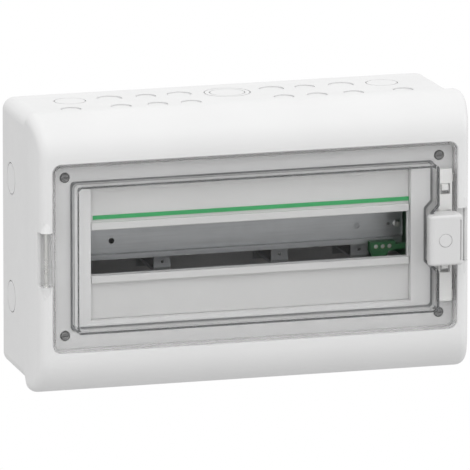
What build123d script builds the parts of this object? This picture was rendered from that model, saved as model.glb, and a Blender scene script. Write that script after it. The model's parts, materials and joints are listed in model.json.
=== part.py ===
from build123d import *
import os

# Surface-mounted breaker panel box: one row of eighteen modules behind a clear door.
#
# Millimetres, +Z up, +X to the right seen from the front.  The front faces -Y and the back
# of the box stands against the wall at Y = 0.  The origin is the centre of the four wall
# holes.  Every "depth" is a distance in front of the wall: a depth of 160 is Y = -160.

# ---- outer sizes -----------------------------------------------------------------------
cover_width = 448.0
cover_height = 280.0
cover_corner = 9.0  # rounding that runs round the bevels and down the sides of the rim
cover_wall = 2.7
window_depth = 160.0  # front of the raised window
rim_depth = 148.5  # flat front rim of the cover
bevel_radius = 40.0  # long rounded bevel above and below the rim
rim_half_width = 218.3
seal_depth = 135.5  # floor of the door recess

# ---- rear box --------------------------------------------------------------------------
box_width = 438.0
box_height = 270.0
box_corner = 12.0
box_wall = 3.0
box_depth = 104.0
box_taper = 1.1  # degrees, growing towards the front
wall_hole_x = 199.0
wall_hole_z = 103.0
wall_hole_radius = 2.75

# ---- door and window -------------------------------------------------------------------
door_width = 413.8
door_height = 188.4
door_corner = 8.0
door_gap = 0.6
flange_back = 146.0
skirt_back = 139.0
window_width = 371.6
window_height = 148.8
window_wall = 2.5
gasket_front = 137.0
dent_x = 179.0  # the window wall steps in around the handle
dent_half = 26.0
dent_run = 7.0

# ---- hinge -----------------------------------------------------------------------------
hinge_x = -213.5
hinge_depth = 145.0
knuckle_radius = 5.5
knuckle_half = 26.4
notch_half = 27.3
hinge_pin_radius = 2.0
hinge_pin_half = 34.0
boss_length = 18.0
rim_chamfer = 1.0

# ---- mask and module row ---------------------------------------------------------------
module_pitch = 18.0
module_count = 18
aperture_width = module_pitch * module_count + 2.0
aperture_height = 46.2
opening_half_x = 164.5
opening_half_z = 67.5
collar_back = 121.5
panel_face = 124.0
lip_face = 129.0
lip_height = 7.4
rail_front = 85.0
rail_length = 338.0

# ---- cover screws ----------------------------------------------------------------------
screw_x = 192.0
screw_z = 79.6
screw_face = 137.0
post_top = 118.0

# ---- latch and handle ------------------------------------------------------------------
pivot_x = 199.5
pivot_depth = 154.0
handle_half = 25.5
handle_left = 172.4
handle_right = 206.7
handle_face = 169.5
bar_left = 189.6
bar_right = 203.2
bar_half = 67.0
bar_back = 141.3
bar_front = 143.7
slot_size = 10.8
slot_places = (46.8, -32.6)
slot_x = 196.2
pocket_cut = 2.0
bar_travel = 4.0
finger_z = 22.5
button_x = 189.0
button_radius = 6.5

os.makedirs("parts", exist_ok=True)


def front(depth):
    """Plane facing the front at a distance from the wall; local y is Z."""
    return Plane.XZ.offset(depth)


def save(part, name):
    part.label = name
    export_step(part, f"parts/{name}.step")


def block(center, size, mode=Mode.ADD):
    """A plain block that joins, or cuts, the sub-part being built."""
    with Locations(center):
        Box(*size, mode=mode)


# ---- rear box --------------------------------------------------------------------------
def box_form(inset, start, end):
    """Tapered rounded block of the box, or of its cavity when it is inset."""
    with BuildPart() as form:
        with BuildSketch(Plane.XZ.offset(0)):
            RectangleRounded(box_width - 2 * inset, box_height - 2 * inset, box_corner - inset)
        extrude(amount=box_depth, taper=-box_taper)
        block((0, -(start + end) / 2, 0), (600, end - start, 600), Mode.INTERSECT)
    return form.part


top_ring_x = 160.9
top_discs = ((119.5, 12.8), (82.0, 10.3), (47.6, 12.6))
front_row_discs = (170.8, 119.5, 82.0, 47.6)
row_ring_depth = 42.0
row_disc_depth = 39.0
front_row_depth = 83.0
side_ring_z = 59.7
side_ring_depth = 36.0
ring_radius = 16.3
ring_line = 1.2
knockout_cut = 1.1
groove_cut = 2.0
disc_radius = 10.4
disc_line = 0.9
grip = 1.6  # how far the knock-out tools reach outside the wall

rear_shell = box_form(0, 0, box_depth)
rear_cavity = box_form(box_wall, box_wall, box_depth)


def wall_height(depth):
    """Half height of the tapered box at a depth."""
    return box_height / 2 + depth * 0.0192


def wall_side(depth):
    return box_width / 2 + depth * 0.0192


with BuildPart() as rear_box:
    add(rear_shell)
    back_edges = rear_box.faces().sort_by(Axis.Y)[-1].edges()
    fillet(back_edges, radius=3.0)
    add(rear_cavity, mode=Mode.SUBTRACT)
    with BuildSketch(front(box_wall)):
        with GridLocations(2 * screw_x, 2 * screw_z, 2, 2):
            Circle(8.0)
    extrude(amount=post_top - box_wall)
    with BuildSketch(front(post_top)):
        with GridLocations(2 * screw_x, 2 * screw_z, 2, 2):
            Circle(5.5)
    extrude(amount=-26.0, mode=Mode.SUBTRACT)
    with BuildSketch(front(box_wall)):
        with GridLocations(2 * wall_hole_x, 2 * wall_hole_z, 2, 2):
            Circle(7.0)
    extrude(amount=2.5)
    with BuildSketch(front(0)):
        with GridLocations(2 * wall_hole_x, 2 * wall_hole_z, 2, 2):
            Circle(wall_hole_radius)
    extrude(amount=box_wall + 2.5, mode=Mode.SUBTRACT)
    for side in (1, -1):
        with BuildSketch(Plane.XY.offset(side * (wall_height(row_ring_depth) + grip))):
            with Locations((top_ring_x, -row_ring_depth), (-top_ring_x, -row_ring_depth)):
                Circle(ring_radius)
                Circle(ring_radius - ring_line, mode=Mode.SUBTRACT)
        extrude(amount=-side * (grip + groove_cut), mode=Mode.SUBTRACT)
        with BuildSketch(Plane.XY.offset(side * (wall_height(row_ring_depth) + grip))):
            with Locations((0, -row_ring_depth - 3.0)):
                Circle(23.6)
                Circle(22.2, mode=Mode.SUBTRACT)
                Circle(18.0)
                Circle(17.0, mode=Mode.SUBTRACT)
        extrude(amount=-side * (grip + groove_cut), mode=Mode.SUBTRACT)
        with BuildSketch(Plane.XY.offset(side * (wall_height(row_disc_depth) + grip))):
            for x, radius in top_discs:
                with Locations((x, -row_disc_depth), (-x, -row_disc_depth)):
                    Circle(radius)
        extrude(amount=-side * (grip + knockout_cut), mode=Mode.SUBTRACT)
        with BuildSketch(Plane.XY.offset(side * (wall_height(row_disc_depth) + grip))):
            for x, radius in top_discs:
                with Locations((x, -row_disc_depth), (-x, -row_disc_depth)):
                    Circle(radius)
                    Circle(radius - disc_line, mode=Mode.SUBTRACT)
        extrude(amount=-side * (grip + groove_cut), mode=Mode.SUBTRACT)
        with BuildSketch(Plane.XY.offset(side * (wall_height(front_row_depth) + grip))):
            for x in front_row_discs:
                with Locations((x, -front_row_depth), (-x, -front_row_depth)):
                    Circle(disc_radius)
        extrude(amount=-side * (grip + knockout_cut), mode=Mode.SUBTRACT)
        with BuildSketch(Plane.XY.offset(side * (wall_height(front_row_depth) + grip))):
            for x in front_row_discs:
                with Locations((x, -front_row_depth), (-x, -front_row_depth)):
                    Circle(disc_radius)
                    Circle(disc_radius - disc_line, mode=Mode.SUBTRACT)
        extrude(amount=-side * (grip + groove_cut), mode=Mode.SUBTRACT)
        with BuildSketch(Plane.YZ.offset(side * (wall_side(row_ring_depth) + grip))):
            with Locations((-side_ring_depth, side_ring_z), (-side_ring_depth, -side_ring_z)):
                Circle(ring_radius)
                Circle(ring_radius - ring_line, mode=Mode.SUBTRACT)
        extrude(amount=-side * (grip + groove_cut), mode=Mode.SUBTRACT)
save(rear_box.part, "rear_box")

ring_outer = box_form(0.2, box_depth - 2.0, box_depth)
ring_inner = box_form(box_wall - 0.2, box_depth - 2.0, box_depth)

with BuildPart() as box_gasket:
    add(Pos(0, -2.0, 0) * ring_outer)
    add(Pos(0, -2.0, 0) * ring_inner, mode=Mode.SUBTRACT)
save(box_gasket.part, "box_gasket")

with BuildPart() as wall_screw_caps:
    with BuildSketch(front(box_wall + 2.5)):
        with GridLocations(2 * wall_hole_x, 2 * wall_hole_z, 2, 2):
            Circle(7.6)
    extrude(amount=5.5)
    fillet(wall_screw_caps.faces().filter_by(Axis.Y).sort_by(Axis.Y)[:4].edges(), radius=1.2)
    with BuildSketch(front(box_wall + 2.5)):
        with GridLocations(2 * wall_hole_x, 2 * wall_hole_z, 2, 2):
            Circle(6.2)
    extrude(amount=4.1, mode=Mode.SUBTRACT)
save(wall_screw_caps.part, "wall_screw_caps")

with BuildPart() as screw_sockets:
    with BuildSketch(front(post_top - 13.0)):
        with GridLocations(2 * screw_x, 2 * screw_z, 2, 2):
            Circle(5.5)
            Circle(3.4, mode=Mode.SUBTRACT)
            Rectangle(9.6, 3.0, mode=Mode.SUBTRACT)
    extrude(amount=12.0)
save(screw_sockets.part, "screw_sockets")

# ---- rail and its supports -------------------------------------------------------------
rail_metal = 1.0
rail_step = 7.5
rail_back = rail_front - rail_step
post_x = 165.5
foot_places = (-74.0, 47.0, 129.5)

with BuildPart() as din_rail:
    with BuildSketch(Plane.YZ.offset(-rail_length / 2)):
        with BuildLine():
            for up in (1, -1):
                Polyline(
                    (-rail_back, 0),
                    (-rail_back, up * 13.5),
                    (-rail_front + rail_metal, up * 13.5),
                    (-rail_front + rail_metal, up * 17.5),
                    (-rail_front, up * 17.5),
                    (-rail_front, up * 12.5),
                    (-rail_back - rail_metal, up * 12.5),
                    (-rail_back - rail_metal, 0),
                )
        make_face()
    extrude(amount=rail_length)
    with BuildSketch(front(rail_back)):
        with Locations((-128.8, 0), (124.1, 0)):
            Circle(2.9)
        with Locations((157.0, 0), (-157.0, 0)):
            Circle(1.6)
        with Locations((post_x, 0), (-post_x, 0)):
            Circle(1.75)
    extrude(amount=3.0, mode=Mode.SUBTRACT)
save(din_rail.part, "din_rail")

with BuildPart() as rail_posts:
    with BuildSketch(front(box_wall)):
        with Locations((post_x, 0), (-post_x, 0)):
            RectangleRounded(13.0, 30.0, 3.0)
    extrude(amount=rail_back - box_wall)
    with BuildSketch(front(rail_back)):
        with Locations((post_x, 0), (-post_x, 0)):
            Circle(1.5)
    extrude(amount=-14.0, mode=Mode.SUBTRACT)
save(rail_posts.part, "rail_posts")

with BuildPart() as rail_feet:
    for x in foot_places:
        with BuildSketch(Plane.YZ.offset(x - 8.5)):
            with BuildLine():
                Polyline(
                    (-box_wall, -44.0),
                    (-box_wall - 3.0, -44.0),
                    (-box_wall - 3.0, -36.0),
                    (-66.0, -36.0),
                    (-69.5, -32.0),
                    (-69.5, -20.0),
                    (-rail_back, -12.0),
                    (-rail_back, 12.0),
                    (-rail_back + 3.0, 12.0),
                    (-rail_back + 3.0, -10.5),
                    (-66.5, -18.5),
                    (-66.5, -30.0),
                    (-63.5, -33.0),
                    (-box_wall, -33.0),
                    close=True,
                )
            make_face()
        extrude(amount=17.0)
    with BuildSketch(front(60.0)):
        with Locations(*[(x, -26.0) for x in foot_places]):
            Circle(1.6)
    extrude(amount=12.0, mode=Mode.SUBTRACT)
save(rail_feet.part, "rail_feet")

with BuildPart() as rail_screws:
    with BuildSketch(front(rail_back - 12.0)):
        with Locations((post_x, 0), (-post_x, 0)):
            Circle(1.5)
    extrude(amount=12.0 + rail_metal)
    with BuildSketch(front(rail_back + rail_metal)):
        with Locations((post_x, 0), (-post_x, 0)):
            Circle(3.4)
    extrude(amount=2.2)
    fillet(rail_screws.faces().sort_by(Axis.Y)[:2].edges(), radius=0.7)
    with BuildSketch(front(rail_back + rail_metal + 2.2)):
        with Locations((post_x, 0), (-post_x, 0)):
            Rectangle(3.8, 0.8)
            Rectangle(0.8, 3.8)
    extrude(amount=-1.2, mode=Mode.SUBTRACT)
save(rail_screws.part, "rail_screws")

# ---- earth terminal carrier at the right end of the row --------------------------------
clamp_places = (139.5, 146.5, 153.5)

with BuildPart() as terminal_carrier:
    with BuildSketch(front(box_wall)):
        with Locations((181.0, -2.0)):
            RectangleRounded(12.0, 70.0, 2.0)
    extrude(amount=100.0 - box_wall)
    with BuildSketch(front(box_wall)):
        with Locations((182.5, -2.0)):
            Rectangle(10.0, 64.0)
    extrude(amount=94.0, mode=Mode.SUBTRACT)
    with BuildSketch(front(86.2)):
        with Locations((167.0, -20.0)):
            Rectangle(22.0, 5.0)
        with Locations((146.5, -19.0)):
            Rectangle(26.0, 9.5)
        with BuildLine():
            Polyline((133.5, -23.5), (152.5, -23.5), (149.5, -31.0), (136.5, -31.0), close=True)
        make_face()
    extrude(amount=9.0)
    with BuildSketch(front(89.0)):
        with Locations((146.5, -19.0)):
            Rectangle(22.4, 6.4)
    extrude(amount=5.0, mode=Mode.SUBTRACT)
    with BuildSketch(front(93.0)):
        with Locations(*[(x, -19.0) for x in clamp_places]):
            Circle(2.3)
    extrude(amount=3.0, mode=Mode.SUBTRACT)
save(terminal_carrier.part, "terminal_carrier")

with BuildPart() as terminal_bar:
    with BuildSketch(front(89.0)):
        with Locations((146.5, -19.0)):
            Rectangle(22.0, 6.0)
    extrude(amount=4.8)
    with BuildSketch(front(93.8)):
        with Locations(*[(x, -19.0) for x in clamp_places]):
            Circle(2.0)
    extrude(amount=-2.8, mode=Mode.SUBTRACT)
save(terminal_bar.part, "terminal_bar")

with BuildPart() as terminal_screws:
    with BuildSketch(front(91.0)):
        with Locations(*[(x, -19.0) for x in clamp_places]):
            Circle(1.98)
    extrude(amount=2.9)
    with BuildSketch(front(93.9)):
        with Locations(*[(x, -19.0) for x in clamp_places]):
            Rectangle(3.0, 0.7)
    extrude(amount=-0.9, mode=Mode.SUBTRACT)
save(terminal_screws.part, "terminal_screws")


# ---- front cover -----------------------------------------------------------------------
def cover_form(inset, back):
    """Outer form of the cover, or of its cavity when it is inset."""
    half_height = cover_height / 2 - inset
    radius = bevel_radius - inset
    tip = rim_depth - inset
    half_width = cover_width / 2 - inset
    with BuildPart() as form:
        with BuildSketch(Plane.YZ):
            with BuildLine():
                Line((-back, half_height), (-tip + radius, half_height))
                RadiusArc((-tip + radius, half_height), (-tip, half_height - radius), -radius)
                Line((-tip, half_height - radius), (-tip, radius - half_height))
                RadiusArc((-tip, radius - half_height), (-tip + radius, -half_height), -radius)
                Line((-tip + radius, -half_height), (-back, -half_height))
                Line((-back, -half_height), (-back, half_height))
            make_face()
        extrude(amount=cover_width, both=True)
        with BuildSketch(Plane.XY):
            with BuildLine():
                Line((0, -back + 5), (half_width, -back + 5))
                Line((half_width, -back + 5), (half_width, -tip + radius))
                ThreePointArc(
                    (half_width, -tip + radius),
                    (half_width - 1.7, -tip + 0.42 * radius),
                    (rim_half_width - inset, -tip),
                )
                Line((rim_half_width - inset, -tip), (rim_half_width - inset, -tip - 5))
                Line((rim_half_width - inset, -tip - 5), (0, -tip - 5))
                mirror(about=Plane.YZ)
            make_face()
        extrude(amount=cover_height, both=True, mode=Mode.INTERSECT)
        # only the long front edges, which run over the bevels and down the rim
        for side in (1, -1):
            near = form.edges().filter_by_position(Axis.X, side * half_width - 7, side * half_width + 7)
            arris = [e for e in near if e.center().Y < -back - 0.5 and abs(e.center().Z) > 105]
            arris += near.filter_by(Axis.Z).filter_by_position(Axis.Y, -tip - 0.1, -tip + 0.1)
            fillet(arris, radius=cover_corner - inset)
    return form.part


def window_outline(inset):
    """Window outline with the step around the handle, as a closed wire."""
    half_width = window_width / 2 - inset
    half_height = window_height / 2 - inset
    step = dent_x - inset
    return FilletPolyline(
        (half_width, half_height),
        (-half_width, half_height),
        (-half_width, -half_height),
        (half_width, -half_height),
        (half_width, -dent_half - dent_run - inset / 2),
        (step, -dent_half - inset / 2),
        (step, dent_half + inset / 2),
        (half_width, dent_half + dent_run + inset / 2),
        radius=3.0 if inset > 3 else 4.0,
        close=True,
    )


def pin_boss(side):
    """Swelling of the rim that carries one end of the hinge pin."""
    with BuildPart() as boss:
        with BuildSketch(Plane.XY.offset(side * notch_half)):
            with Locations((hinge_x, -hinge_depth)):
                Circle(knuckle_radius + 0.4)
        with BuildSketch(Plane.XY.offset(side * (notch_half + boss_length))):
            with Locations((hinge_x + 1.0, -hinge_depth + 1.5)):
                Circle(hinge_pin_radius + 0.7)
        loft()
    return boss.part


cover_shell = cover_form(0, 50.0)
cover_cavity = cover_form(cover_wall, 49.0)
recess_width = door_width + 2 * door_gap
recess_height = door_height + 2 * door_gap
notch_floor = hinge_depth - knuckle_radius - 0.6
rib_outer = box_form(-1.2, box_depth - 5.0, box_depth)
rib_inner = box_form(box_wall, box_depth - 5.0, box_depth)

with BuildPart() as front_cover:
    add(cover_shell)
    add(cover_cavity, mode=Mode.SUBTRACT)
    # back edge of the skirt, which reaches further back along the middle of the sides
    with BuildSketch(Plane.YZ):
        with BuildLine():
            FilletPolyline(
                (-40, 150),
                (-107, 150),
                (-107, 134),
                (-97, 119),
                (-68, 43),
                (-68, -43),
                (-97, -119),
                (-107, -134),
                (-107, -150),
                (-40, -150),
                radius=6.0,
                close=True,
            )
        make_face()
    extrude(amount=260, both=True, mode=Mode.SUBTRACT)
    # rib that presses on the box gasket
    add(Pos(0, -7.0, 0) * rib_outer)
    add(Pos(0, -7.0, 0) * rib_inner, mode=Mode.SUBTRACT)
    # tub around the door recess
    with BuildSketch(front(seal_depth - 3.0)):
        RectangleRounded(recess_width + 5.2, recess_height + 5.2, door_corner + 3.0)
    extrude(amount=rim_depth - seal_depth + 3.0)
    # collar that the mask sits behind
    with BuildSketch(front(collar_back)):
        RectangleRounded(2 * opening_half_x + 40.0, 2 * opening_half_z + 13.0, 3.0)
    extrude(amount=seal_depth - collar_back - 1.0)
    # cover screw guides
    with BuildSketch(front(post_top + 1.0)):
        with GridLocations(2 * screw_x, 2 * screw_z, 2, 2):
            Circle(8.5)
    extrude(amount=seal_depth - post_top - 2.0)
    # solid ends of the hinge notch
    for side in (1, -1):
        block((side * 211.0, -139.0, 0), (10.8, 18.5, 76.0))
        block((side * 214.0, -131.0, 0), (14.0, 12.0, 76.0))
    # door recess
    with BuildSketch(front(seal_depth)):
        RectangleRounded(recess_width, recess_height, door_corner + door_gap)
    extrude(amount=20.0, mode=Mode.SUBTRACT)
    with BuildSketch(front(rim_depth - rim_chamfer)):
        RectangleRounded(recess_width, recess_height, door_corner + door_gap)
    extrude(amount=rim_chamfer, taper=-45, mode=Mode.SUBTRACT)
    # notches for the hinge knuckle and the handle
    for side in (1, -1):
        block((side * 215.5, -notch_floor - 10, 0), (22, 20, 2 * notch_half), Mode.SUBTRACT)
    for side in (1, -1):
        add(pin_boss(side))
    # pockets behind the slots of the latch bar
    for z in slot_places:
        block((slot_x, -seal_depth, z), (11.0, 2 * pocket_cut, 12.0), Mode.SUBTRACT)
    # opening over the mask, with sloping top and bottom and hollow sides
    with BuildSketch(front(100.0)):
        Rectangle(2 * opening_half_x, 2 * opening_half_z)
    extrude(amount=40.0, mode=Mode.SUBTRACT)
    with BuildSketch(front(seal_depth)):
        Rectangle(2 * opening_half_x, 2 * opening_half_z + 7.0)
    extrude(amount=-3.5, taper=45, mode=Mode.SUBTRACT)
    with BuildSketch(Plane.XY.offset(-opening_half_z - 3.5)):
        with BuildLine():
            for side in (1, -1):
                Line((0, -seal_depth - 1), (side * 183.0, -seal_depth - 1))
                Line((side * 183.0, -seal_depth - 1), (side * 183.0, -seal_depth))
                ThreePointArc(
                    (side * 183.0, -seal_depth),
                    (side * 171.0, -seal_depth + 3.4),
                    (side * opening_half_x, -seal_depth + 4.0),
                )
                Line((side * opening_half_x, -seal_depth + 4.0), (0, -seal_depth + 4.0))
        make_face()
    extrude(amount=2 * opening_half_z + 7.0, mode=Mode.SUBTRACT)
    # cover screw holes
    with BuildSketch(front(100.0)):
        with GridLocations(2 * screw_x, 2 * screw_z, 2, 2):
            Circle(5.2)
    extrude(amount=seal_depth - 103.5, mode=Mode.SUBTRACT)
    with BuildSketch(front(100.0)):
        with GridLocations(2 * screw_x, 2 * screw_z, 2, 2):
            Circle(3.4)
    extrude(amount=40.0, mode=Mode.SUBTRACT)
    with BuildSketch(front(seal_depth - 2.2)):
        with GridLocations(2 * screw_x, 2 * screw_z, 2, 2):
            Circle(5.2)
    extrude(amount=10.0, mode=Mode.SUBTRACT)
    # hinge pin bore
    with Locations(Location((hinge_x, -hinge_depth, 0))):
        Cylinder(hinge_pin_radius, 2 * hinge_pin_half, mode=Mode.SUBTRACT)
save(front_cover.part, "front_cover")

# ---- mask behind the opening -----------------------------------------------------------
mask_gap = 0.4

with BuildPart() as aperture_mask:
    with BuildSketch(front(collar_back - 2.4)):
        RectangleRounded(2 * opening_half_x + 11.0, 2 * opening_half_z + 12.0, 3.0)
    extrude(amount=2.2)
    with BuildSketch(front(collar_back - 0.4)):
        RectangleRounded(2 * opening_half_x - 2 * mask_gap, 2 * opening_half_z - 2 * mask_gap, 1.0)
    extrude(amount=panel_face - collar_back + 0.4)
    with BuildSketch(front(panel_face)):
        with Locations((0, (aperture_height + lip_height) / 2), (0, -(aperture_height + lip_height) / 2)):
            Rectangle(aperture_width, lip_height)
    extrude(amount=lip_face - panel_face)
    lip_edges = aperture_mask.faces().sort_by(Axis.Y)[:2].edges().filter_by(Axis.X)
    fillet(lip_edges, radius=0.9)
    with BuildSketch(front(100.0)):
        Rectangle(aperture_width, aperture_height)
    extrude(amount=40.0, mode=Mode.SUBTRACT)
save(aperture_mask.part, "aperture_mask")

with BuildPart() as mask_clips:
    with BuildSketch(front(collar_back - 8.0)):
        with GridLocations(220.0, 2 * opening_half_z + 4.0, 2, 2):
            Rectangle(14.0, 3.0)
    extrude(amount=5.6)
save(mask_clips.part, "mask_clips")

with BuildPart() as label_strip:
    with BuildSketch(front(panel_face)):
        with Locations((1.8, 35.0)):
            Rectangle(aperture_width - 1.4, 4.0)
    extrude(amount=0.9)
save(label_strip.part, "label_strip")

# ---- seal between window and recess floor ----------------------------------------------
with BuildPart() as window_gasket:
    with BuildSketch(front(seal_depth)):
        with BuildLine():
            window_outline(-0.5)
        make_face()
        with BuildLine():
            window_outline(2.6)
        make_face(mode=Mode.SUBTRACT)
    extrude(amount=gasket_front - seal_depth)
save(window_gasket.part, "window_gasket")

# ---- hooks that the latch bar grips ----------------------------------------------------
with BuildPart() as latch_hooks:
    for z in slot_places:
        with BuildSketch(Plane.YZ.offset(192.2)):
            with BuildLine():
                Polyline(
                    (-seal_depth + pocket_cut, z - 1.0),
                    (-seal_depth + pocket_cut, z + 2.4),
                    (-bar_back - 0.4, z + 2.4),
                    (-bar_back - 0.4, z + 5.0),
                    (-bar_front - 0.3, z + 5.0),
                    (-bar_front - 1.9, z + 3.6),
                    (-bar_front - 1.9, z - 1.0),
                    close=True,
                )
            make_face()
        extrude(amount=6.6)
save(latch_hooks.part, "latch_hooks")

# ---- clear door ------------------------------------------------------------------------
knuckle_web = 5.5
lug_places = (-14.0, 14.0)
lug_half_width = 2.0
pin_radius = 1.5

with BuildPart() as door_window:
    with BuildSketch(front(flange_back)):
        RectangleRounded(door_width, door_height, door_corner)
    extrude(amount=rim_depth - flange_back)
    with BuildSketch(front(skirt_back)):
        RectangleRounded(door_width, door_height, door_corner)
        RectangleRounded(door_width - 5.0, door_height - 5.0, door_corner - 2.5, mode=Mode.SUBTRACT)
    extrude(amount=flange_back - skirt_back)
    fillet(door_window.faces().sort_by(Axis.Y)[0].outer_wire().edges(), radius=1.2)
    with BuildSketch(front(gasket_front)):
        with BuildLine():
            window_outline(0)
        make_face()
    extrude(amount=window_depth - gasket_front)
    fillet(door_window.faces().sort_by(Axis.Y)[0].outer_wire().edges(), radius=1.0)
    with BuildSketch(front(gasket_front - 5.0)):
        with BuildLine():
            window_outline(window_wall)
        make_face()
    extrude(amount=window_depth - window_wall - gasket_front + 5.0, mode=Mode.SUBTRACT)
    # hinge knuckle and the web that joins it to the flange
    with Locations(Location((hinge_x, -hinge_depth, 0))):
        Cylinder(knuckle_radius, 2 * knuckle_half)
    web_center = (hinge_x + knuckle_web / 2 + 0.8, -rim_depth + 1.4, 0)
    block(web_center, (knuckle_web + 1.6, 2.8, 2 * knuckle_half))
    with Locations(Location((hinge_x, -hinge_depth, 0))):
        Cylinder(hinge_pin_radius + 0.08, 4 * knuckle_half, mode=Mode.SUBTRACT)
    # lugs that carry the handle
    for z in lug_places:
        with BuildSketch(Plane.XY.offset(z - lug_half_width)):
            with BuildLine():
                Polyline(
                    (pivot_x - 3.5, -rim_depth + 1.0),
                    (pivot_x - 3.5, -pivot_depth),
                    (pivot_x + 3.5, -pivot_depth),
                    (pivot_x + 3.5, -rim_depth + 1.0),
                    close=True,
                )
            make_face()
            with Locations((pivot_x, -pivot_depth)):
                Circle(3.5)
                Circle(pin_radius, mode=Mode.SUBTRACT)
        extrude(amount=2 * lug_half_width)
    # slot for the finger of the handle
    with BuildSketch(front(flange_back - 1.0)):
        with Locations((pivot_x - 3.2, finger_z)):
            Rectangle(10.6, 5.2)
    extrude(amount=6.0, mode=Mode.SUBTRACT)
save(door_window.part, "door_window")

with BuildPart() as hinge_pin:
    with Locations(Location((hinge_x, -hinge_depth, 0))):
        Cylinder(hinge_pin_radius, 2 * hinge_pin_half)
    chamfer(hinge_pin.edges().filter_by(GeomType.CIRCLE), length=0.4)
save(hinge_pin.part, "hinge_pin")

with BuildPart() as handle_pin:
    with Locations(Location((pivot_x, -pivot_depth, 0))):
        Cylinder(pin_radius, 38.0)
save(handle_pin.part, "handle_pin")

# ---- latch bar -------------------------------------------------------------------------
bar_middle = (bar_left + bar_right) / 2
cam_run = 6.8

with BuildPart() as latch_bar:
    with BuildSketch(front(bar_back)):
        with Locations((bar_middle, 0)):
            RectangleRounded(bar_right - bar_left, 2 * bar_half, 1.2)
        for z in slot_places:
            with Locations((slot_x, z)):
                Rectangle(10.0, slot_size, mode=Mode.SUBTRACT)
        with BuildLine():
            Polyline(
                (pivot_x + 2.3, finger_z - 2.2),
                (pivot_x + 2.3, finger_z + 3.2),
                (pivot_x - 0.6, finger_z + 3.2),
                (pivot_x - cam_run - 2.6, finger_z - bar_travel + 2.2),
                (pivot_x - cam_run - 2.6, finger_z - bar_travel - 2.8),
                (pivot_x - cam_run + 0.4, finger_z - bar_travel - 2.8),
                close=True,
            )
        make_face(mode=Mode.SUBTRACT)
    extrude(amount=bar_front - bar_back)
save(latch_bar.part, "latch_bar")

with BuildPart() as bar_guides:
    for x in (bar_left - 1.6, bar_right + 0.7):
        with BuildSketch(front(bar_back)):
            with Locations((x, 58.0), (x, 8.0), (x, -60.0)):
                Rectangle(1.2 if x < bar_middle else 0.9, 8.0)
        extrude(amount=flange_back - bar_back)
save(bar_guides.part, "bar_guides")

# ---- handle ----------------------------------------------------------------------------
with BuildPart() as handle:
    with BuildSketch(Plane.XY.offset(-handle_half)):
        with BuildLine():
            Polyline(
                (handle_right, -155.0),
                (handle_right, -handle_face),
                (handle_left + 6.0, -handle_face),
            )
            ThreePointArc(
                (handle_left + 6.0, -handle_face),
                (handle_left + 1.7, -handle_face + 1.9),
                (handle_left, -handle_face + 6.1),
            )
            Polyline(
                (handle_left, -handle_face + 6.1),
                (handle_left, -161.0),
                (181.5, -161.0),
                (181.5, -149.3),
                (201.0, -149.3),
                (handle_right, -155.0),
            )
        make_face()
    extrude(amount=2 * handle_half)
    face_edges = handle.faces().filter_by(Axis.Z).edges().filter_by_position(Axis.Y, -175, -162)
    fillet(face_edges, radius=3.0)
    # room for the lugs of the door
    for z in lug_places:
        block((199.0, -152.0, z), (16.0, 14.0, 2 * lug_half_width + 1.0), Mode.SUBTRACT)
    with Locations(Location((pivot_x, -pivot_depth, 0))):
        Cylinder(pin_radius + 0.06, 39.0, mode=Mode.SUBTRACT)
    # pocket of the button
    with BuildSketch(front(158.0)):
        with Locations((button_x, 0)):
            Circle(button_radius + 0.3)
    extrude(amount=20.0, mode=Mode.SUBTRACT)
    # finger that drives the bar
    with BuildSketch(Plane.XY.offset(finger_z - 1.6)):
        with Locations((pivot_x, -145.8)):
            Rectangle(3.0, 8.4)
    extrude(amount=3.2)
    # groove along the pivot side
    with BuildSketch(front(handle_face)):
        with Locations((204.7, 0)):
            Rectangle(0.9, 41.0)
    extrude(amount=-2.0, mode=Mode.SUBTRACT)
save(handle.part, "handle")

with BuildPart() as lock_button:
    with BuildSketch(front(164.0)):
        with Locations((button_x, 0)):
            Circle(button_radius)
    extrude(amount=handle_face - 164.0 + 0.2)
    fillet(lock_button.faces().sort_by(Axis.Y)[0].edges(), radius=0.5)
save(lock_button.part, "lock_button")

with BuildPart() as button_spring:
    with BuildLine():
        Helix(pitch=1.5, height=4.5, radius=4.2, center=(button_x, -158.8, 0), direction=(0, -1, 0))
    with BuildSketch(Plane(origin=(button_x + 4.2, -158.8, 0), z_dir=(0, 0, 1))):
        Circle(0.35)
    sweep(is_frenet=True)
save(button_spring.part, "button_spring")

# ---- cover screws ----------------------------------------------------------------------
screw_corners = {
    "top_left": (-screw_x, screw_z),
    "top_right": (screw_x, screw_z),
    "bottom_left": (-screw_x, -screw_z),
    "bottom_right": (screw_x, -screw_z),
}
for corner, (x, z) in screw_corners.items():
    with BuildPart() as cover_screw:
        with BuildSketch(front(seal_depth - 0.7)):
            with Locations((x, z)):
                Circle(4.2)
        extrude(amount=screw_face - seal_depth + 0.7)
        fillet(cover_screw.faces().sort_by(Axis.Y)[0].edges(), radius=0.5)
        with BuildSketch(front(post_top - 19.0)):
            with Locations((x, z)):
                Circle(3.0)
        extrude(amount=seal_depth - post_top + 18.5)
        block((x, -(post_top - 17.0), z), (2.4, 2.4, 9.0))
        with BuildSketch(front(screw_face)):
            with Locations((x, z)):
                Rectangle(6.2, 1.0)
        extrude(amount=-1.2, mode=Mode.SUBTRACT)
    save(cover_screw.part, f"cover_screw_{corner}")

with BuildPart() as screw_seals:
    with BuildSketch(front(seal_depth - 2.2)):
        with GridLocations(2 * screw_x, 2 * screw_z, 2, 2):
            Circle(4.9)
            Circle(3.2, mode=Mode.SUBTRACT)
    extrude(amount=1.4)
save(screw_seals.part, "screw_seals")
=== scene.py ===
import json
import math

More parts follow.
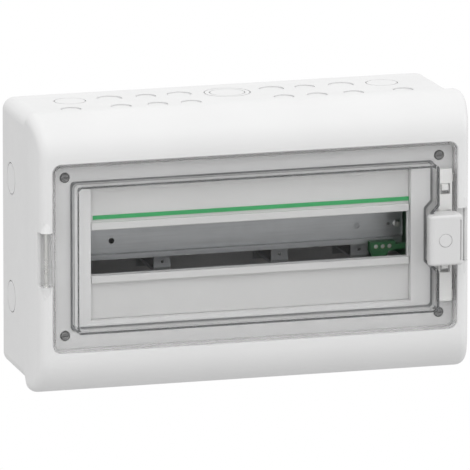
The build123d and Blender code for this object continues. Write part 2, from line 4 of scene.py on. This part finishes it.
import bpy
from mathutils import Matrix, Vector

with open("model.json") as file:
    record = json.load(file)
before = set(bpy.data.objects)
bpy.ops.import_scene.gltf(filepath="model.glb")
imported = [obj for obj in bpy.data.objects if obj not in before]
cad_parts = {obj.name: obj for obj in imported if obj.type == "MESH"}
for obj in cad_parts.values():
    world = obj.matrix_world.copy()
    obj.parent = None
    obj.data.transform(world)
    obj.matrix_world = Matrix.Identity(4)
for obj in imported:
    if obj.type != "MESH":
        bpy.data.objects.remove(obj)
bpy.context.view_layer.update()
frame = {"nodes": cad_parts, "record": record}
nodes = frame["nodes"]
scene = bpy.context.scene


# ---- material helpers ------------------------------------------------------------------
class Mat:
    """A Principled material with object-space noise for its colour, roughness and bump."""

    def __init__(self, name, color, rough, metal=0.0):
        self.mat = bpy.data.materials.new(name)
        self.mat.use_nodes = True
        self.tree = self.mat.node_tree
        self.tree.nodes.clear()
        self.out = self.node("ShaderNodeOutputMaterial")
        self.bsdf = self.node("ShaderNodeBsdfPrincipled")
        self.link(self.bsdf.outputs[0], self.out.inputs["Surface"])
        self.color = color
        self.set("Base Color", (*color, 1.0))
        self.set("Roughness", rough)
        self.set("Metallic", metal)
        self.coord = self.node("ShaderNodeTexCoord")

    def node(self, kind):
        return self.tree.nodes.new(kind)

    def link(self, a, b):
        self.tree.links.new(a, b)

    def set(self, socket, value):
        self.bsdf.inputs[socket].default_value = value

    def noise(self, scale, detail=3.0, rough=0.5, stretch=(1, 1, 1)):
        mapping = self.node("ShaderNodeMapping")
        mapping.inputs["Scale"].default_value = stretch
        self.link(self.coord.outputs["Object"], mapping.inputs["Vector"])
        tex = self.node("ShaderNodeTexNoise")
        tex.inputs["Scale"].default_value = scale
        tex.inputs["Detail"].default_value = detail
        tex.inputs["Roughness"].default_value = rough
        self.link(mapping.outputs[0], tex.inputs["Vector"])
        return tex.outputs["Fac"]

    def ramp(self, source, low, high, value_low, value_high):
        node = self.node("ShaderNodeMapRange")
        for name, value in zip(("From Min", "From Max", "To Min", "To Max"),
                               (low, high, value_low, value_high)):
            node.inputs[name].default_value = value
        self.link(source, node.inputs["Value"])
        return node.outputs["Result"]

    def tint(self, source, spread):
        """Colour that varies a little each way round the base colour."""
        mix = self.node("ShaderNodeMix")
        mix.data_type = "RGBA"
        mix.inputs["A"].default_value = (*[c * (1 - spread) for c in self.color], 1)
        mix.inputs["B"].default_value = (*[min(1, c * (1 + spread)) for c in self.color], 1)
        self.link(source, mix.inputs["Factor"])
        self.link(mix.outputs["Result"], self.bsdf.inputs["Base Color"])
        return self

    def rough(self, source, low, high):
        self.link(self.ramp(source, 0.3, 0.7, low, high), self.bsdf.inputs["Roughness"])
        return self

    def bump(self, source, depth, strength=1.0):
        node = self.node("ShaderNodeBump")
        node.inputs["Distance"].default_value = depth
        node.inputs["Strength"].default_value = strength
        self.link(source, node.inputs["Height"])
        self.link(node.outputs[0], self.bsdf.inputs["Normal"])
        return self


def plastic(name, color, rough=0.45, grain=900.0, depth=0.00004, spread=0.012):
    """Moulded plastic: spark-eroded grain, faint cloudy colour and gloss."""
    m = Mat(name, color, rough)
    cloud = m.noise(14.0, 2.0)
    m.tint(m.ramp(cloud, 0.3, 0.7, 0.0, 1.0), spread)
    m.rough(m.noise(60.0, 3.0), rough - 0.05, rough + 0.05)
    m.bump(m.noise(grain, 2.0, 0.6), depth, 0.6)
    m.set("IOR", 1.5)
    return m.mat


def metal(name, color, rough, stretch, depth=0.00003):
    """Drawn or plated metal with fine lines along one direction."""
    m = Mat(name, color, rough, 1.0)
    lines = m.noise(500.0, 3.0, 0.6, stretch)
    m.tint(m.ramp(lines, 0.3, 0.7, 0.0, 1.0), 0.05)
    m.rough(m.noise(90.0, 3.0), rough - 0.06, rough + 0.1)
    m.bump(lines, depth, 0.5)
    return m.mat


CLEAR_IOR = 1.12  # weak bending, so that the thin walls stay readable
SHADOW_TINT = (0.99, 0.99, 0.99, 1)


def clear(name, color, rough):
    """Clear moulding that bends light for the eye and lets the lamps' light through."""
    m = Mat(name, color, rough)
    m.set("Transmission Weight", 1.0)
    m.set("IOR", CLEAR_IOR)
    m.rough(m.noise(40.0, 3.0), rough, rough + 0.02)
    m.bump(m.noise(30.0, 1.0, 0.4), 0.00003, 0.15)
    through = m.node("ShaderNodeBsdfTransparent")
    through.inputs["Color"].default_value = SHADOW_TINT
    path = m.node("ShaderNodeLightPath")
    mix = m.node("ShaderNodeMixShader")
    m.link(path.outputs["Is Shadow Ray"], mix.inputs["Fac"])
    m.link(m.bsdf.outputs[0], mix.inputs[1])
    m.link(through.outputs[0], mix.inputs[2])
    m.link(mix.outputs[0], m.out.inputs["Surface"])
    return m.mat


ALONG_X = (0.03, 1, 1)
ALONG_Z = (1, 1, 0.03)
looks = {
    "housing": plastic("housing_plastic", (0.70, 0.70, 0.70), 0.42),
    "mask": plastic("mask_plastic", (0.64, 0.64, 0.636), 0.5, 1100.0),
    "label_green": plastic("label_plastic", (0.05, 0.37, 0.13), 0.35, 500.0, 0.00001, 0.03),
    "seal": plastic("seal_foam", (0.22, 0.225, 0.23), 0.85, 2500.0, 0.0002, 0.12),
    "galvanised_steel": metal("rail_zinc", (0.46, 0.47, 0.48), 0.38, ALONG_X),
    "bracket_grey": plastic("bracket_nylon", (0.42, 0.43, 0.44), 0.55, 700.0, 0.00006, 0.03),
    "screw_steel": metal("screw_zinc", (0.72, 0.72, 0.70), 0.28, ALONG_Z),
    "screw_grey": plastic("screw_nylon", (0.21, 0.21, 0.21), 0.5, 800.0, 0.00005, 0.04),
    "carrier_green": plastic("carrier_nylon", (0.03, 0.13, 0.05), 0.45, 700.0, 0.00004, 0.04),
    "brass": metal("bar_brass", (0.52, 0.42, 0.22), 0.3, ALONG_X),
    "latch_white": plastic("latch_acetal", (0.82, 0.82, 0.81), 0.35, 500.0, 0.00002),
    "handle_white": plastic("handle_plastic", (0.62, 0.62, 0.62), 0.4),
    "clear_smoke": clear("door_polycarbonate", (0.90, 0.90, 0.90), 0.01),
}
for subpart in frame["record"]["subparts"]:
    node = nodes[subpart["node"]]
    node.data.materials.clear()
    node.data.materials.append(looks[subpart["material_slot"]])

# The gasket touches the clear door face to face.  Without a hair's breadth between them the
# render has a black line along the foot of the window.
GASKET_GAP = 0.00008
gap = nodes["window_gasket"].modifiers.new("gap", "DISPLACE")
gap.strength = -GASKET_GAP
gap.mid_level = 0.0

# ---- stage -----------------------------------------------------------------------------
FLOOR_Z = -0.62
FLOOR_SIZE = 60.0
FLOOR_COLOR = (0.55, 0.55, 0.55)
DOME_HORIZON, DOME_TOP = 0.88, 1.16
OBJECT_MIDDLE = (0, -0.08, 0)


def white_to_the_eye(tree, shader, out, strength):
    """Shows a surface as plain white, while the object gets the softer light of its own shader."""
    glow = tree.nodes.new("ShaderNodeEmission")
    glow.inputs["Strength"].default_value = strength
    path = tree.nodes.new("ShaderNodeLightPath")
    mix = tree.nodes.new("ShaderNodeMixShader")
    tree.links.new(path.outputs["Is Camera Ray"], mix.inputs["Fac"])
    tree.links.new(shader.outputs[0], mix.inputs[1])
    tree.links.new(glow.outputs[0], mix.inputs[2])
    tree.links.new(mix.outputs[0], out.inputs["Surface"])


def plane(name, size, location, color):
    half = size / 2
    mesh = bpy.data.meshes.new(name)
    mesh.from_pydata([(-half, -half, 0), (half, -half, 0), (half, half, 0), (-half, half, 0)],
                     [], [(0, 1, 2, 3)])
    obj = bpy.data.objects.new(name, mesh)
    obj.location = location
    scene.collection.objects.link(obj)
    m = Mat(name + "_paint", color, 0.9)
    m.tint(m.noise(2.0), 0.004)
    white_to_the_eye(m.tree, m.bsdf, m.out, 1.0)
    mesh.materials.append(m.mat)


plane("studio_floor", FLOOR_SIZE, (0, 0, FLOOR_Z), FLOOR_COLOR)

world = bpy.data.worlds.new("studio_world")
scene.world = world
world.use_nodes = True
tree = world.node_tree
background = tree.nodes["Background"]
background.inputs["Color"].default_value = (1, 1, 1, 1)
# soft studio dome: brighter overhead than towards the horizon
geometry = tree.nodes.new("ShaderNodeTexCoord")
split = tree.nodes.new("ShaderNodeSeparateXYZ")
tree.links.new(geometry.outputs["Generated"], split.inputs[0])
dome = tree.nodes.new("ShaderNodeMapRange")
dome.inputs["From Min"].default_value = -0.2
dome.inputs["From Max"].default_value = 1.0
dome.inputs["To Min"].default_value = DOME_HORIZON
dome.inputs["To Max"].default_value = DOME_TOP
tree.links.new(split.outputs["Z"], dome.inputs["Value"])
tree.links.new(dome.outputs["Result"], background.inputs["Strength"])
white_to_the_eye(tree, background, tree.nodes["World Output"], 1.0)


def area(name, location, target, size, power):
    lamp = bpy.data.lights.new(name, "AREA")
    lamp.shape = "RECTANGLE"
    lamp.size, lamp.size_y = size
    lamp.energy = power
    obj = bpy.data.objects.new(name, lamp)
    obj.location = location
    aim_at = Vector(target) - Vector(location)
    obj.rotation_mode = "QUATERNION"
    obj.rotation_quaternion = aim_at.to_track_quat("-Z", "Y")
    scene.collection.objects.link(obj)


area("key_above", (-0.2, -1.7, 2.0), OBJECT_MIDDLE, (2.2, 1.6), 13.0)
area("fill_front", (-1.6, -2.6, 0.1), OBJECT_MIDDLE, (1.6, 1.6), 6.0)
area("right_side", (2.2, -0.6, 0.5), (0.1, -0.08, 0), (1.2, 1.2), 8.0)

# ---- camera ----------------------------------------------------------------------------
AZIMUTH, ELEVATION, DISTANCE = math.radians(-16.1), math.radians(12.5), 12.0
LENS = 932.3
SENSOR_WIDTH = 36.0
AIM_RIGHT, AIM_UP = -0.02075, 0.01251
WINDOW_MIDDLE = Vector((0, -0.148, 0))
look_back = Vector((math.sin(AZIMUTH) * math.cos(ELEVATION),
                    -math.cos(AZIMUTH) * math.cos(ELEVATION),
                    math.sin(ELEVATION)))
right = Vector((math.cos(AZIMUTH), math.sin(AZIMUTH), 0))
up = right.cross(-look_back)
aim = WINDOW_MIDDLE + AIM_RIGHT * right + AIM_UP * up
camera_data = bpy.data.cameras.new("camera")
camera_data.lens = LENS
camera_data.sensor_width = SENSOR_WIDTH
camera_data.clip_start, camera_data.clip_end = 0.1, 200.0
camera = bpy.data.objects.new("camera", camera_data)
camera.rotation_mode = "QUATERNION"
camera.location = aim + look_back * DISTANCE
camera.rotation_quaternion = (-look_back).to_track_quat("-Z", "Y")
scene.collection.objects.link(camera)
scene.camera = camera

scene.view_settings.view_transform = "Standard"
scene.view_settings.look = "None"
scene.cycles.use_denoising = True
# light runs along inside the clear door, which takes many bounces
scene.cycles.max_bounces = 24
scene.cycles.glossy_bounces = 20
scene.cycles.transmission_bounces = 20
scene.cycles.transparent_max_bounces = 24
